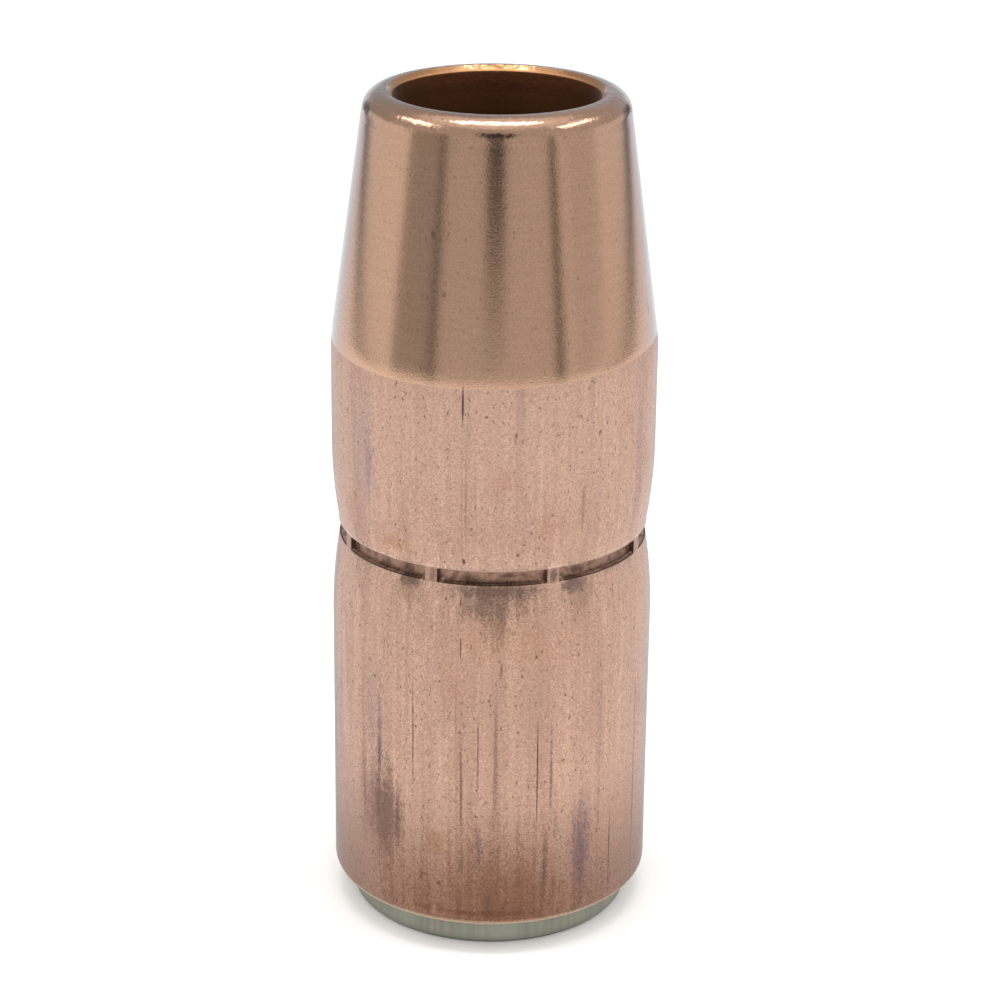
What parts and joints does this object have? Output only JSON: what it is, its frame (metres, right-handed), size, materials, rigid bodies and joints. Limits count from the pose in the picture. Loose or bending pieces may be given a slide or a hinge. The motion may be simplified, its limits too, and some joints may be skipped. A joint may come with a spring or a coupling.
{
  "type": "welding nozzle",
  "caption": "Insulated copper gas nozzle for arc welding: swaged shell with a crimped waist, fibre insulator and threaded brass insert.",
  "frame": {"origin": "on the axis at the rear face of the insulator, the end that screws onto the torch", "axes": "+Z along the axis towards the tip; one crimp mark is centred on -Y"},
  "size_m": [0.0254, 0.0254, 0.0668],
  "materials": {
    "copper": "used bare copper: turned and semi-gloss on the taper, matte drawn skin on the barrel, heat-stained in the crimp",
    "glass_fibre": "grey-green glass fibre composite tube with fine striations along the axis",
    "brass": "machined brass"
  },
  "bodies": {
    "root": {"nozzle_shell": "copper", "insulator_sleeve": "glass_fibre", "threaded_insert": "brass"}
  },
  "joints": []
}
